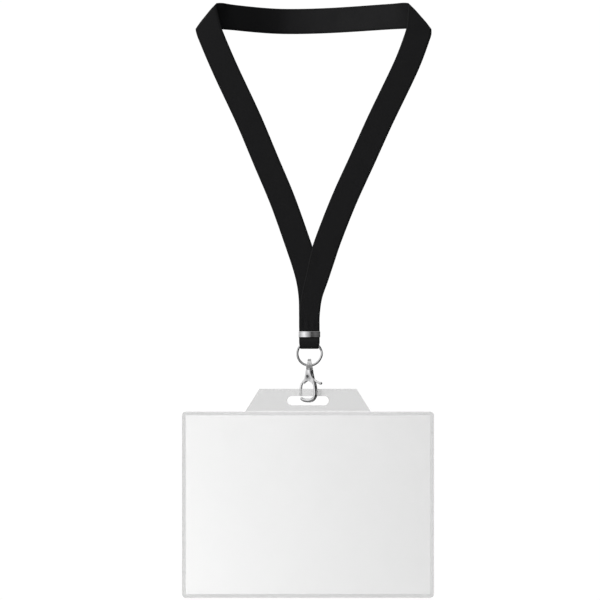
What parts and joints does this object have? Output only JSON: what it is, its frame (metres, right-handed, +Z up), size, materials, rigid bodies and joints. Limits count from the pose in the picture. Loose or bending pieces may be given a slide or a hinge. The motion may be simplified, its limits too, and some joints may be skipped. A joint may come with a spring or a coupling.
{
  "type": "lanyard badge holder",
  "caption": "Flat ribbon neck lanyard with a crimp, split ring and swivel lobster clasp that carries a clear landscape card holder by its slotted tab.",
  "frame": {"origin": "on the front face of the ribbon in the middle of the neck section, where the lanyard rests on the wearer's neck", "axes": "+X to the viewer's right as the holder hangs, +Y away from the viewer, +Z up"},
  "size_m": [0.2206, 0.0453, 0.5212],
  "materials": {
    "ribbon": "satin weave",
    "crimp": "polished",
    "ring_wire": "polished",
    "clasp": "polished nickel",
    "frosted_sheet": "soft frosted plastic",
    "clear_sheet": "soft clear plastic"
  },
  "bodies": {
    "lanyard": {"strap_neck": "ribbon", "strap_left": "ribbon", "strap_right": "ribbon", "strap_end": "ribbon", "crimp_clamp": "crimp"},
    "ring": {"strap_loop": "ribbon", "split_ring": "ring_wire"},
    "eye": {"swivel_eye": "clasp"},
    "hook": {"hook_body": "clasp", "gate_rivet": "clasp", "gate_spring": "ring_wire"},
    "gate": {"gate_lever": "clasp"},
    "holder": {"back_panel": "frosted_sheet", "front_panel": "clear_sheet"}
  },
  "joints": [
    {"name": "tail_bend", "type": "hinge", "parent": "lanyard", "child": "ring", "pos_m": [0.0012, -0.036, -0.282], "axis": [1, 0, 0], "range_deg": [-45, 45], "deforming": ["strap_loop"]},
    {"name": "eye_swing", "type": "hinge", "parent": "ring", "child": "eye", "pos_m": [0.0012, -0.036, -0.30667], "axis": [1, 0, 0], "range_deg": [-50, 50]},
    {"name": "swivel", "type": "hinge", "parent": "eye", "child": "hook", "pos_m": [0.0012, -0.036, -0.3105], "axis": [0, 0, 1], "continuous": true},
    {"name": "gate", "type": "hinge", "parent": "hook", "child": "gate", "pos_m": [0.00068, -0.0357, -0.3163], "axis": [-0.5, -0.866, 0], "range_deg": [0, 14], "stiffness_Nm_per_rad": 0.004, "springref_deg": -5.73, "deforming": ["gate_spring"]},
    {"name": "holder_sway", "type": "hinge", "parent": "hook", "child": "holder", "pos_m": [0.0012, -0.036, -0.3335], "axis": [0, 1, 0], "range_deg": [-8, 8]}
  ]
}
